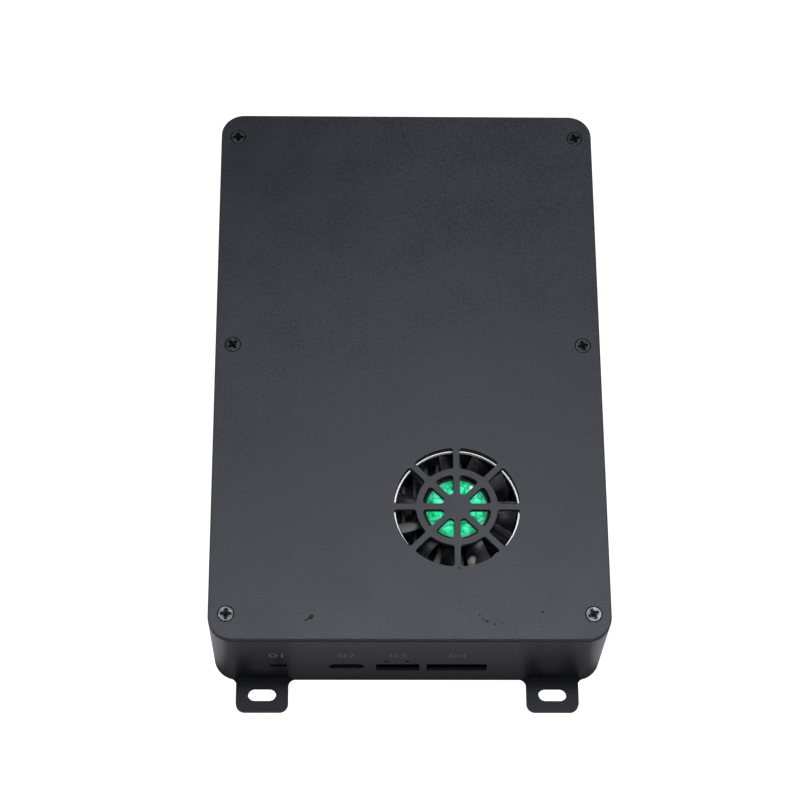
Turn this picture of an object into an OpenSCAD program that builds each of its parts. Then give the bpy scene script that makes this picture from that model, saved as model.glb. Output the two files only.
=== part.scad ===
// Boxed single board computer: a closed metal case with a fan under a grille in its cover,
// four mounting ears, card and cable sockets in the front and rear walls, and its board inside.
// Units are millimetres. The origin is the middle of the underside, +Z is up, and the front
// wall with the card slots faces -Y.

/* [Case] */
// Width over the two side walls
case_w = 107; // [105:0.5:110]
// Length from the front wall to the rear wall
case_l = 159.3; // [158:0.1:162]
// Height of the closed case
case_h = 36.3; // [36:0.1:38]
// Radius of the upright corners
corner_r = 6.5; // [6:0.1:7]
// Thickness of the walls
wall_t = 2.5; // [2.3:0.1:2.7]
// Thickness of the floor
floor_t = 2; // [1.8:0.1:2.2]
// Thickness of the cover plate
cover_t = 1.5; // [1.4:0.1:1.7]
// Chamfer on the outer edges of case and cover
edge_c = 0.3; // [0.2:0.05:0.4]

/* [Mounting ears] */
// Width of an ear
ear_w = 14.4; // [13.5:0.1:15]
// Reach of an ear beyond the wall
ear_reach = 9.35; // [9:0.05:11]
// Distance of the middle of an ear in from the side wall
ear_in_x = 13.4; // [12.5:0.1:14.5]
// Radius of the free corners of an ear
ear_r = 2.4; // [2:0.1:2.8]
// Radius of the fillet where an ear leaves the wall
ear_root_r = 2; // [1.5:0.1:2.4]
// Length of the slot in an ear from end to end
ear_slot_l = 7.8; // [7:0.1:8.6]
// Width of the slot in an ear
ear_slot_w = 3.8; // [3.4:0.1:4.2]
// Distance from the wall to the middle of the slot
ear_slot_y = 4.6; // [4.4:0.1:5]

/* [Cover screws] */
// Distance of the screws in from the side walls
screw_in_x = 4.8; // [4.6:0.1:5]
// Distance of the end screws in from the front and rear walls
screw_in_y = 7.2; // [7:0.1:7.6]
// Place of the middle pair of screws ahead of or behind the middle
screw_mid_y = 6.1; // [5:0.1:7]
// Radius of a screw head
screw_head_r = 2.1; // [2:0.05:2.3]
// Gap between a screw head and the rim of its countersink
head_rim_gap = 0.15; // [0.1:0.05:0.2]
// Depth of the cone of a screw head
screw_head_h = 1.1; // [1:0.05:1.2]
// Radius of a small screw shank
screw_r = 1.2; // [1.15:0.05:1.3]
// Length of a cover screw
screw_l = 8; // [7:0.5:10]
// Width across the wings of the cross recess
cross_w = 3; // [2.6:0.1:3.2]
// Width of one wing of the cross recess
cross_t = 0.8; // [0.6:0.05:0.9]
// Radius of the inner posts for the cover screws
post_r = 3.4; // [3.2:0.1:3.5]

/* [Cover grille] */
// Sideways place of the fan and its grille, as a share of the case width
fan_at = 0.1206; // [0.112:0.0001:0.13]
// Distance of the fan centre behind the outer face of the front wall
fan_from_front = 37.65; // [37.5:0.05:39]
// Outer radius of the grille
grille_r = 17.15; // [16.9:0.05:17.3]
// Outer radius of the ring across the grille
grille_ring_out = 11.1; // [10.6:0.1:11.4]
// Inner radius of the ring across the grille
grille_ring_in = 9.3; // [8.8:0.1:9.5]
// Radius of the solid middle of the grille
grille_hub_r = 3.8; // [3.4:0.1:4.2]
// Width of a grille spoke
grille_spoke_w = 1.7; // [1.6:0.05:2.1]
// Corner radius of the grille slots
grille_slot_r = 0.8; // [0.5:0.1:1]
// Number of grille spokes
grille_spokes = 8; // [8:2:10]

/* [Fan] */
// Side of the square fan frame
fan_side = 40; // [40:0.2:41]
// Height of the fan frame
fan_h = 10; // [9.8:0.1:10.4]
// Gap between the fan and the cover
fan_gap = 0.35; // [0.3:0.05:0.5]
// Bore radius of the fan frame
fan_bore_r = 17.5; // [17.4:0.1:17.6]
// Radial width of the bright bezel ring in the bore
bezel_w = 0.85; // [0.8:0.05:1]
// Height of the bezel ring
bezel_h = 1.2; // [1:0.1:1.6]
// Distance from the fan centre to a fan screw along each side
fan_hole = 16; // [15.9:0.1:16.2]
// Radius of the rotor hub
hub_r = 9; // [8.8:0.1:9.2]
// Gap between the blade tips and the bezel
blade_gap = 0.4; // [0.35:0.05:0.6]
// Number of blades
blades = 11; // [9:2:11]
// Thickness of a blade
blade_t = 0.7; // [0.6:0.05:0.8]
// Radius of the fan shaft
shaft_r = 1; // [0.9:0.05:1.1]
// Radial running clearance of the shaft
run_gap = 0.04; // [0.02:0.01:0.06]

/* [Heat sink] */
// Width of the heat sink base, as a share of the case width
sink_share = 0.5234; // [0.515:0.0001:0.532]
// Side of the finned block
sink_side = 42; // [41:0.5:43]
// Thickness of the heat sink base
sink_base_t = 2.4; // [2:0.1:2.8]
// Thickness of a fin
fin_t = 1; // [0.8:0.05:1.2]
// Number of fins
fins = 14; // [12:1:15]
// Distance of the heat sink screws in from the ends of the base
sink_hole_in = 3; // [2.6:0.1:3.2]
// Half distance between the heat sink screws along the case
sink_hole_y = 16; // [15:0.5:17]
// Thickness of the thermal pad
pad_t = 1; // [0.8:0.1:1.2]

/* [Board] */
// Gap between the long edges of the board and the side walls, where the cover posts stand
pcb_side_gap = 7; // [7:0.1:8]
// Thickness of the circuit board
pcb_t = 1.6; // [1.5:0.1:1.7]
// Gap between the board ends and the walls
pcb_gap = 1.65; // [1.6:0.05:1.8]
// Height of the board posts above the floor
board_post_h = 7.6; // [7.4:0.1:7.8]
// Distance of the board screws in from the long edges
board_hole_in = 4; // [4:0.1:4.5]
// Distance from the board ends to the end screws
board_hole_end = 8; // [7.8:0.1:8.5]
// Side of the main chip
chip_w = 23; // [21:0.5:24]
// Height of the main chip
chip_h = 1.6; // [1.5:0.1:1.8]

/* [Front wall] */
// Wall thickness around the front openings
port_wall_t = 1.2; // [1.1:0.1:1.4]
// Sideways place of the reset button, as a share of the case width
reset_at = -0.33; // [-0.336:0.001:-0.326]
// Width of the reset button opening
reset_w = 4.6; // [4.4:0.1:5]
// Height of the reset button opening
reset_h = 2.6; // [2.4:0.1:3]
// Travel of the reset button
reset_travel = 0.35; // [0.2:0.05:0.4]
// Sideways place of the small cable socket, as a share of the case width
usb_c_at = -0.1565; // [-0.159:0.0001:-0.15]
// Width of the small cable socket
usb_c_w = 8.94; // [8.9:0.02:9]
// Height of the small cable socket
usb_c_h = 3.26; // [3.2:0.02:3.3]
// Sideways place of the memory card slot, as a share of the case width
card_at = -0.0264; // [-0.028:0.0001:-0.0262]
// Width of the memory card slot
card_slot_w = 11.8; // [11.6:0.1:12]
// Sideways place of the network card slot, as a share of the case width
sim_at = 0.1238; // [0.1236:0.0001:0.126]
// Width of the network card slot
sim_slot_w = 16.4; // [16:0.1:16.6]
// Height of both card slots
card_slot_h = 6; // [5.6:0.1:6.2]
// Sideways distance between the two lamp holes
lamp_gap = 5.8; // [5.6:0.1:6]
// Height of the lamp holes above the board
lamp_rise = 6.15; // [6:0.05:6.4]
// Radius of a light guide rod
guide_r = 0.5; // [0.45:0.05:0.6]

/* [Rear wall] */
// Sideways place of the power socket, as a share of the case width
power_at = -0.29; // [-0.292:0.001:-0.288]
// Sideways place of the picture socket, as a share of the case width
video_at = -0.15; // [-0.152:0.001:-0.148]
// Sideways place of the cable socket pair, as a share of the case width
usb_a_at = 0.0045; // [0.0035:0.0005:0.0065]
// Sideways place of the network socket, as a share of the case width
net_at = 0.173; // [0.172:0.0005:0.175]
// Sideways place of the sound socket, as a share of the case width
sound_at = 0.299; // [0.298:0.001:0.301]
// Sideways place of the aerial sockets, as a share of the case width
aerial_at = 0.383; // [0.381:0.001:0.385]
// Height of the aerial sockets
aerial_z = 17.5; // [17:0.1:18]
// Reach of the aerial sockets beyond the wall
aerial_reach = 8; // [7.5:0.1:8.6]
// Radius of the aerial socket thread
aerial_r = 3.175; // [3.1:0.025:3.2]
// Relief of the aerial socket where its nut sits
aerial_relief = 0.5; // [0.4:0.05:0.6]

/* [Side vents] */
// Number of vent slots in each side wall
vents = 9; // [7:1:10]
// Width of a vent slot
vent_w = 2; // [1.6:0.1:2.2]
// Height of a vent slot
vent_h = 16; // [14:0.5:17]
// Spacing of the vent slots
vent_pitch = 4.8; // [4.4:0.1:5]

/* [Fit] */
// Depth of the rear sockets behind the face of the wall
port_set = 0.2; // [0.1:0.05:0.4]
// Clearance round a connector in its wall opening
port_gap = 0.4; // [0.35:0.05:0.45]
// Clearance of a screw in its hole
hole_gap = 0.05; // [0.03:0.01:0.08]
// Clearance round the reset button
button_gap = 0.3; // [0.25:0.05:0.35]

/* [Hidden] */
$fn = 72;
EPS = 0.01;

// Levels and edges worked out from the sizes above
front_y = -case_l / 2;
rear_y = case_l / 2;
tray_h = case_h - cover_t;
board_low = floor_t + board_post_h;
board_top = board_low + pcb_t;
pcb_w = case_w - 2 * wall_t - 2 * pcb_side_gap;
pcb_l = case_l - 2 * wall_t - 2 * pcb_gap;
screw_x = case_w / 2 - screw_in_x;
screw_y = case_l / 2 - screw_in_y;
board_hole_x = pcb_w / 2 - board_hole_in;
board_hole_y = pcb_l / 2 - board_hole_end;
board_hole_mid = case_l * 0.019;
screw_hole_r = screw_r + hole_gap;
head_rim_t = 0.12;
ear_x = case_w / 2 - ear_in_x;
ear_t = floor_t;
// Depth to which the fillets at an ear's root dip into the wall
ear_root_dip = 0.12;
fan_x = case_w * fan_at;
fan_y = front_y + fan_from_front;
fan_top = tray_h - fan_gap;
fan_low = fan_top - fan_h;
bezel_in = fan_bore_r - bezel_w;
blade_r = bezel_in - blade_gap;
sink_w = case_w * sink_share;
sink_hole_x = sink_w / 2 - sink_hole_in;
sink_low = board_top + chip_h + pad_t;
sink_top = sink_low + sink_base_t;
reset_x = case_w * reset_at;
usb_c_x = case_w * usb_c_at;
card_x = case_w * card_at;
sim_x = case_w * sim_at;
power_x = case_w * power_at;
video_x = case_w * video_at;
usb_a_x = case_w * usb_a_at;
net_x = case_w * net_at;
sound_x = case_w * sound_at;
aerial_x = case_w * aerial_at;
card_mid_z = board_top + card_slot_h * 0.117;
usb_c_z = board_top + usb_c_h / 2;
reset_z = board_top + reset_h * 0.81;
lamp_z = board_top + lamp_rise;
lamp_x = card_x - lamp_gap * 0.064;
face_y = rear_y - port_set;

// Colours
shell_black = [0.09, 0.09, 0.1];
board_green = [0.05, 0.2, 0.12];
plastic_black = [0.05, 0.05, 0.05];
metal = [0.75, 0.76, 0.78];
gold = [0.85, 0.68, 0.3];

// Flat rounded outline
module outline(w, l, r) {
    square([w - 2 * r, l], center = true);
    square([w, l - 2 * r], center = true);
    for (x = [-1, 1], y = [-1, 1])
        translate([x * (w / 2 - r), y * (l / 2 - r)])
            circle(r);
}

// Cross section of a chamfered slab
module slab_section(w, h, top_c, low_c) {
    polygon([[-w / 2 + low_c, 0], [w / 2 - low_c, 0], [w / 2, low_c], [w / 2, h - top_c],
        [w / 2 - top_c, h], [-w / 2 + top_c, h], [-w / 2, h - top_c], [-w / 2, low_c]]);
}

// Slab with round upright corners and chamfered upper and lower edges
module slab(w, l, h, r, top_c, low_c) {
    translate([0, l / 2 - r, 0])
        rotate([90, 0, 0])
            linear_extrude(l - 2 * r)
                slab_section(w, h, top_c, low_c);
    translate([-w / 2 + r, 0, 0])
        rotate([90, 0, 90])
            linear_extrude(w - 2 * r)
                slab_section(l, h, top_c, low_c);
    for (x = [-1, 1], y = [-1, 1])
        translate([x * (w / 2 - r), y * (l / 2 - r), 0])
            rotate_extrude()
                polygon([[0, 0], [r - low_c, 0], [r, low_c], [r, h - top_c], [r - top_c, h], [0, h]]);
}

// Block resting on a level, centred on a point
module block(x, y, z, w, l, h) {
    translate([x - w / 2, y - l / 2, z])
        cube([w, l, h]);
}

// Slot with half round ends, running along X
module slot_outline(length, width) {
    square([length - width, width], center = true);
    for (x = [-1, 1])
        translate([x * (length - width) / 2, 0])
            circle(width / 2);
}

// Straight wire between two points
module wire_limb(a, b, r) {
    d = b - a;
    span = norm(d);
    translate(a)
        rotate([0, acos(d.z / span), atan2(d.y, d.x)])
            cylinder(h = span, r = r);
}

// Wire through a row of points with round bends
module wire(points, r, $fn = 12) {
    for (i = [0 : len(points) - 2])
        wire_limb(points[i], points[i + 1], r);
    for (p = points)
        translate(p)
            sphere(r);
}

// Cross recess of a screw, its mouth at the origin
module cross_cut(w, t, depth) {
    block(0, 0, -depth, w, t, depth + EPS);
    block(0, 0, -depth, t, w, depth + EPS);
}

// Round headed screw, underside of the head at the origin
module pan_screw(head_r, head_h, shank_r, length) {
    difference() {
        union() {
            rotate_extrude()
                polygon([[0, 0], [head_r, 0], [head_r, head_h * 0.55], [head_r * 0.72, head_h], [0, head_h]]);
            translate([0, 0, -length])
                cylinder(h = length + EPS, r = shank_r);
        }
        translate([0, 0, head_h])
            cross_cut(head_r * 1.1, head_r * 0.26, head_h * 0.6);
    }
}

// Places of the six cover screws
module at_cover_screws() {
    for (x = [-1, 1], y = [-screw_y, screw_mid_y, screw_y])
        translate([x * screw_x, y, 0])
            children();
}

// Places of the six board screws
module at_board_screws() {
    for (x = [-1, 1], y = [-board_hole_y, board_hole_mid, board_hole_y])
        translate([x * board_hole_x, y, 0])
            children();
}

// Places of the four fan screws
module at_fan_screws() {
    for (x = [-1, 1], y = [-1, 1])
        translate([fan_x + x * fan_hole, fan_y + y * fan_hole, 0])
            children();
}

// Places of the four heat sink screws
module at_sink_screws() {
    for (x = [-1, 1], y = [-1, 1])
        translate([fan_x + x * sink_hole_x, fan_y + y * sink_hole_y, 0])
            children();
}

// Opening through a wall at a place along it, square cornered
module wall_cut(x, y, z, w, h) {
    translate([x - w / 2, y - wall_t, z - h / 2])
        cube([w, 2 * wall_t, h]);
}

// Opening through a wall with half round ends
module wall_slot(x, y, z, w, h) {
    translate([x, y + wall_t, z])
        rotate([90, 0, 0])
            linear_extrude(2 * wall_t)
                slot_outline(w, h);
}

// Round opening through a wall
module wall_hole(x, y, z, r) {
    translate([x, y + wall_t, z])
        rotate([90, 0, 0])
            cylinder(h = 2 * wall_t, r = r);
}

// Fillet that leads one side of an ear into the wall, or into the corner of the case that curves away
module ear_root(side, past_corner) {
    edge = ear_w / 2;
    span = corner_r + ear_root_r - ear_root_dip;
    rise = sqrt(span * span - past_corner * past_corner);
    foot = corner_r - rise;
    inward = (ear_root_r + wall_t / 2) / span;
    difference() {
        polygon([[side * (edge - ear_root_r), foot], [side * (edge + ear_root_r), foot],
            [side * (edge + ear_root_r - past_corner * inward), foot + rise * inward],
            [side * (edge - ear_root_r), wall_t]]);
        translate([side * (edge + ear_root_r), foot])
            circle(ear_root_r);
    }
}

// Ear outline pointing away from the wall at the origin, towards -Y, its outer side to one hand
module ear_outline(outer) {
    past_corner = max(0, ear_x + ear_w / 2 + ear_root_r + corner_r - case_w / 2);
    difference() {
        union() {
            translate([-ear_w / 2, ear_r - ear_reach])
                square([ear_w, ear_reach - ear_r + wall_t]);
            translate([-ear_w / 2 + ear_r, -ear_reach])
                square([ear_w - 2 * ear_r, ear_reach]);
            for (x = [-1, 1])
                translate([x * (ear_w / 2 - ear_r), ear_r - ear_reach])
                    circle(ear_r);
            ear_root(outer, past_corner);
            ear_root(-outer, 0);
        }
        translate([0, -ear_slot_y])
            slot_outline(ear_slot_l, ear_slot_w);
    }
}

// Openings of the front wall, with a pocket behind them that thins the wall
module front_cuts() {
    pocket_low = board_top - card_slot_h * 0.55;
    pocket_w = sim_x - reset_x + sim_slot_w + reset_w;
    block((reset_x + sim_x + (sim_slot_w - reset_w) / 2) / 2, front_y + port_wall_t + wall_t / 2, pocket_low,
        pocket_w - 2 * port_gap, wall_t, lamp_z + 2 - pocket_low);
    wall_cut(reset_x, front_y, reset_z, reset_w, reset_h);
    wall_slot(usb_c_x, front_y, usb_c_z, usb_c_w + 2 * port_gap, usb_c_h + 2 * port_gap);
    wall_cut(card_x, front_y, card_mid_z, card_slot_w, card_slot_h);
    wall_cut(sim_x, front_y, card_mid_z, sim_slot_w, card_slot_h);
    for (x = [-1, 1])
        wall_hole(lamp_x + x * lamp_gap / 2, front_y, lamp_z, guide_r + hole_gap);
}

// Sizes of the rear sockets
power_w = 9;
power_h = 11;
power_d = 14.2;
video_w = 15;
video_h = 5.6;
video_d = 11.6;
usb_a_w = 13.2;
usb_a_h = 15.6;
usb_a_d = 17.6;
net_w = 16;
net_h = 13.4;
net_d = 21;
sound_w = 6.4;
sound_h = 5.4;
sound_d = 12;
sound_r = 2.6;

// Openings of the rear wall
module rear_cuts() {
    wall_cut(power_x, rear_y, board_top + power_h / 2, power_w + 2 * port_gap, power_h + 2 * port_gap);
    wall_cut(video_x, rear_y, board_top + video_h / 2, video_w + 2 * port_gap, video_h + 2 * port_gap);
    wall_cut(usb_a_x, rear_y, board_top + usb_a_h / 2, usb_a_w + 2 * port_gap, usb_a_h + 2 * port_gap);
    wall_cut(net_x, rear_y, board_top + net_h / 2, net_w + 2 * port_gap, net_h + 2 * port_gap);
    wall_hole(sound_x, rear_y, board_top + sound_h / 2, sound_r + port_gap);
    for (x = [-1, 1])
        wall_hole(x * aerial_x, rear_y, aerial_z, aerial_r + hole_gap);
}

// Vent slots through both side walls
module vent_cuts() {
    for (x = [-1, 1], i = [0 : vents - 1])
        translate([x * (case_w / 2 + wall_t), fan_y + (i - (vents - 1) / 2) * vent_pitch, tray_h / 2 + 5])
            rotate([0, -90 * x, 0])
                linear_extrude(3 * wall_t)
                    slot_outline(vent_h, vent_w);
}

module case_body() {
    color(shell_black)
        difference() {
            union() {
                difference() {
                    slab(case_w, case_l, tray_h, corner_r, edge_c, edge_c);
                    translate([0, 0, floor_t])
                        linear_extrude(case_h)
                            outline(case_w - 2 * wall_t, case_l - 2 * wall_t, corner_r - wall_t);
                }
                for (side = [0, 180], x = [-1, 1])
                    rotate([0, 0, side])
                        translate([x * ear_x, front_y, 0])
                            linear_extrude(ear_t)
                                ear_outline(x);
                at_cover_screws()
                    translate([0, 0, floor_t - EPS])
                        cylinder(h = tray_h - floor_t + EPS, r = post_r);
                at_board_screws()
                    translate([0, 0, floor_t - EPS])
                        cylinder(h = board_post_h + EPS, r = 3);
            }
            at_cover_screws()
                translate([0, 0, tray_h - screw_l])
                    cylinder(h = screw_l + EPS, r = screw_hole_r);
            at_board_screws()
                translate([0, 0, floor_t + 1])
                    cylinder(h = board_post_h, r = screw_hole_r);
            front_cuts();
            rear_cuts();
            vent_cuts();
        }
}

// Slots of the cover grille between the spokes
module grille_outline() {
    difference() {
        circle(grille_r);
        difference() {
            circle(grille_ring_out);
            circle(grille_ring_in);
        }
        circle(grille_hub_r);
        for (i = [0 : grille_spokes / 2 - 1])
            rotate(i * 360 / grille_spokes)
                square([2 * grille_r + 2, grille_spoke_w], center = true);
    }
}

module top_cover() {
    color(shell_black)
        translate([0, 0, tray_h])
            difference() {
                slab(case_w, case_l, cover_t, corner_r, edge_c, edge_c / 2);
                translate([fan_x, fan_y, -EPS])
                    linear_extrude(cover_t + 2 * EPS)
                        offset(r = grille_slot_r)
                            offset(delta = -grille_slot_r)
                                grille_outline();
                at_cover_screws()
                    translate([0, 0, -EPS])
                        cylinder(h = cover_t + 2 * EPS, r = screw_hole_r + head_rim_gap);
                at_cover_screws()
                    translate([0, 0, cover_t])
                        rotate_extrude()
                            polygon([[0, -screw_head_h - EPS], [screw_hole_r + head_rim_gap, -screw_head_h - EPS],
                                [screw_head_r + head_rim_gap, -2 * head_rim_t], [screw_head_r + head_rim_gap, EPS],
                                [0, EPS]]);
            }
}

// Turned profile of a countersunk screw, its slightly crowned head level with the origin
module flat_screw() {
    difference() {
        rotate_extrude()
            polygon([[0, -screw_l], [screw_r - head_rim_t, -screw_l], [screw_r, head_rim_t - screw_l],
                [screw_r, -screw_head_h], [screw_head_r, -2 * head_rim_t], [screw_head_r, -head_rim_t],
                [screw_head_r - head_rim_t, 0], [0, 0]]);
        cross_cut(cross_w, cross_t, screw_head_h * 0.8);
        translate([0, 0, -screw_head_h * 1.3])
            cylinder(h = screw_head_h * 1.3 + EPS, r1 = cross_t * 0.2, r2 = cross_t);
    }
}

// Turn of each cover screw as it was driven home, by side and place
screw_turns = [[0, 38, 4], [27, 14, 20]];

module cover_screws() {
    color(metal)
        for (i = [0, 1], j = [0 : 2])
            translate([(2 * i - 1) * screw_x, [-screw_y, screw_mid_y, screw_y][j], case_h])
                rotate(screw_turns[i][j])
                    flat_screw();
}

module main_pcb() {
    color(board_green)
        translate([0, 0, board_low])
            difference() {
                linear_extrude(pcb_t)
                    outline(pcb_w, pcb_l, 1.5);
                at_board_screws()
                    translate([0, 0, -EPS])
                        cylinder(h = pcb_t + 2 * EPS, r = screw_hole_r + 0.15);
                at_sink_screws()
                    translate([0, 0, -EPS])
                        cylinder(h = pcb_t + 2 * EPS, r = 1.25);
            }
}

module pcb_screws() {
    color(metal)
        at_board_screws()
            translate([0, 0, board_top])
                pan_screw(2.3, 1.6, screw_r, 7);
}

module soc_chip() {
    color([0.2, 0.35, 0.25]) {
        block(fan_x, fan_y, board_top, chip_w, chip_w, chip_h * 0.55);
        block(fan_x, fan_y, board_top + chip_h * 0.55 - EPS, chip_w - 4, chip_w - 4, chip_h * 0.45 + EPS);
    }
}

module thermal_pad() {
    color([0.5, 0.6, 0.75])
        block(fan_x, fan_y, board_top + chip_h, chip_w - 3, chip_w - 3, pad_t);
}

module heat_sink() {
    fin_pitch = (sink_side - fin_t) / (fins - 1);
    color(metal)
        difference() {
            union() {
                block(fan_x, fan_y, sink_low, sink_w, sink_side, sink_base_t);
                for (i = [0 : fins - 1])
                    block(fan_x - sink_side / 2 + fin_t / 2 + i * fin_pitch, fan_y, sink_top - EPS,
                        fin_t, sink_side, fan_low - sink_top + EPS);
                at_fan_screws()
                    translate([0, 0, sink_top - EPS])
                        cylinder(h = fan_low - sink_top + EPS, r = 2.8);
            }
            at_fan_screws()
                translate([0, 0, sink_top])
                    cylinder(h = fan_low - sink_top + EPS, r = 1.4 + hole_gap);
            at_sink_screws()
                translate([0, 0, sink_low - EPS])
                    cylinder(h = sink_base_t + 2 * EPS, r = 1.3);
        }
}

washer_t = 0.5;

module sink_washers() {
    color([0.85, 0.8, 0.7])
        at_sink_screws()
            translate([0, 0, sink_top])
                difference() {
                    cylinder(h = washer_t, r = 2.2);
                    translate([0, 0, -EPS])
                        cylinder(h = washer_t + 2 * EPS, r = 1.05);
                }
}

nut_t = 1.6;

module sink_screws() {
    color(metal)
        at_sink_screws()
            translate([0, 0, sink_top + washer_t])
                pan_screw(1.9, 1.4, 0.95, sink_top + washer_t - board_low + nut_t + 0.4);
}

module sink_nuts() {
    color(metal)
        at_sink_screws()
            translate([0, 0, board_low - nut_t])
                difference() {
                    cylinder(h = nut_t, r = 2.3, $fn = 6);
                    translate([0, 0, -EPS])
                        cylinder(h = nut_t + 2 * EPS, r = 0.95 + hole_gap);
                }
}

fan_flange_t = 3;
fan_floor_t = 1.4;
stator_base_r = 8.2;
tube_r = 2.4;
bush_r = 1.8;
strut_turn = 67.5;

module fan_frame() {
    color(plastic_black)
        translate([fan_x, fan_y, fan_low])
            difference() {
                union() {
                    difference() {
                        union() {
                            linear_extrude(fan_flange_t)
                                outline(fan_side, fan_side, 3);
                            translate([0, 0, fan_h - fan_flange_t])
                                linear_extrude(fan_flange_t)
                                    outline(fan_side, fan_side, 3);
                            cylinder(h = fan_h, r = fan_bore_r + 1.3);
                        }
                        translate([0, 0, -EPS])
                            cylinder(h = fan_h + 2 * EPS, r = fan_bore_r);
                    }
                    for (a = [strut_turn : 90 : 359])
                        rotate(a)
                            translate([stator_base_r - 1, -1.1, 0])
                                cube([fan_bore_r - stator_base_r + 1.6, 2.2, fan_floor_t]);
                    cylinder(h = fan_floor_t, r = stator_base_r);
                    cylinder(h = fan_h - 3, r = tube_r);
                }
                translate([0, 0, 0.6])
                    cylinder(h = fan_h, r = bush_r);
                for (x = [-1, 1], y = [-1, 1])
                    translate([x * fan_hole, y * fan_hole, -EPS]) {
                        cylinder(h = fan_h + 2 * EPS, r = 1.7);
                        translate([0, 0, fan_h - 1.9])
                            cylinder(h = 3, r = 2.75);
                    }
                rotate(strut_turn + 90)
                    translate([fan_bore_r - 1, -notch_w / 2, fan_floor_t])
                        cube([fan_side * 0.14, notch_w, fan_flange_t - fan_floor_t + EPS]);
            }
}

module fan_bezel() {
    color(metal)
        translate([fan_x, fan_y, fan_top - bezel_h])
            difference() {
                cylinder(h = bezel_h, r = fan_bore_r);
                translate([0, 0, -EPS])
                    cylinder(h = bezel_h + 2 * EPS, r = bezel_in);
            }
}

disc_t = 0.2;
disc_in = 0.7;
cup_h = 7.2;
cup_t = 0.8;
blade_h = 7;
blade_bow_r = 8;
blade_bow_y = 5.36;
blade_lead = 3;
blade_trail = 2.4;

// One bowed blade standing off the hub along +X, at the level of the hub foot
module fan_blade() {
    intersection() {
        difference() {
            cylinder(h = blade_h, r = blade_r);
            translate([0, 0, -EPS])
                cylinder(h = blade_h + 2 * EPS, r = hub_r - cup_t / 2);
        }
        translate([0, blade_bow_y, -blade_t])
            rotate([0, 90, 0])
                difference() {
                    cylinder(h = blade_r + 1, r = blade_bow_r);
                    translate([0, 0, -EPS])
                        cylinder(h = blade_r + 2, r = blade_bow_r - blade_t);
                }
        translate([0, -blade_lead, 0])
            cube([blade_r + 1, blade_lead + blade_trail, blade_h]);
    }
}

module fan_rotor() {
    color(plastic_black)
        translate([fan_x, fan_y, fan_top - disc_t - cup_h]) {
            difference() {
                cylinder(h = cup_h, r = hub_r);
                translate([0, 0, -EPS])
                    cylinder(h = cup_h - 1 + EPS, r = hub_r - cup_t);
                translate([0, 0, -EPS])
                    cylinder(h = cup_h + 1, r = shaft_r);
            }
            for (i = [0 : blades - 1])
                rotate(i * 360 / blades)
                    fan_blade();
        }
}

module hub_disc() {
    color([0.2, 0.9, 0.6])
        translate([fan_x, fan_y, fan_top - disc_t])
            cylinder(h = disc_t, r = hub_r - disc_in);
}

module fan_shaft() {
    color(metal)
        translate([fan_x, fan_y, fan_low + 1])
            cylinder(h = fan_h - disc_t - 1, r = shaft_r);
}

module rotor_magnet() {
    color([0.3, 0.3, 0.32])
        translate([fan_x, fan_y, fan_top - disc_t - cup_h + 0.4])
            difference() {
                cylinder(h = cup_h - 1.8, r = hub_r - cup_t);
                translate([0, 0, -EPS])
                    cylinder(h = cup_h, r = hub_r - cup_t - 1);
            }
}

module fan_bearing() {
    color(gold)
        translate([fan_x, fan_y, fan_low + 1.2])
            difference() {
                cylinder(h = fan_h - 4.2, r = bush_r);
                translate([0, 0, -EPS])
                    cylinder(h = fan_h, r = shaft_r + run_gap);
            }
}

module fan_stator() {
    color([0.7, 0.4, 0.2])
        translate([fan_x, fan_y, fan_low + fan_floor_t])
            difference() {
                union() {
                    cylinder(h = 0.8, r = 6.6);
                    translate([0, 0, 0.7])
                        cylinder(h = 4.3, r = 3.4);
                    for (a = [0 : 90 : 270])
                        rotate(a) {
                            translate([2.6, -1.5, 1.4])
                                cube([3, 3, 2.8]);
                            translate([5, -2.6, 1.8])
                                cube([1.3, 5.2, 2]);
                        }
                }
                translate([0, 0, -EPS])
                    cylinder(h = fan_h, r = tube_r + 2 * EPS);
            }
}

module fan_screws() {
    color(metal)
        at_fan_screws()
            translate([0, 0, fan_top - 1.9])
                pan_screw(2.5, 1.6, 1.4, fan_h - 1.9 + 4);
}

header_x = case_w * -0.187;
header_y = fan_y + 28.5;
header_h = 3.6;
plug_h = 3.2;
lead_r = 0.42;
lead_pitch = 1.25;
lead_lay = 0.95;
notch_w = 3 * lead_lay + 0.4;

// Three leads that run out along a strut of the fan and across to their plug
module fan_cable() {
    out = [cos(strut_turn + 90), sin(strut_turn + 90), 0];
    aside = [-out.y, out.x, 0];
    floor_at = [fan_x, fan_y, fan_low + fan_floor_t + lead_r + EPS];
    color([0.35, 0.06, 0.08])
        for (i = [-1 : 1])
            wire([floor_at + out * stator_base_r + aside * i * lead_lay,
                floor_at + out * (fan_side / 2 + 2.4) + aside * i * lead_lay,
                [header_x + 3, header_y - 8 + i * lead_lay, board_top + header_h + 6.5 + i * lead_lay],
                [header_x + i * lead_pitch, header_y - 2, board_top + header_h + plug_h + 2.6],
                [header_x + i * lead_pitch, header_y, board_top + header_h + plug_h + 1.2],
                [header_x + i * lead_pitch, header_y, board_top + header_h + 0.8]], lead_r);
}

module fan_plug() {
    color([0.9, 0.88, 0.8])
        difference() {
            union() {
                block(header_x, header_y, board_top + header_h, 7, 4.4, plug_h);
                block(header_x, header_y, board_top + 1, 5.8, 2.6, header_h - 1 + EPS);
            }
            for (i = [-1 : 1])
                translate([header_x + i * lead_pitch, header_y, board_top + header_h + 0.38])
                    cylinder(h = plug_h, r = lead_r);
        }
}

module fan_header() {
    color([0.92, 0.9, 0.84])
        difference() {
            block(header_x, header_y, board_top, 7.4, 4.2, header_h);
            block(header_x, header_y, board_top + 0.9, 6, 2.8, header_h);
        }
}

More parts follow.
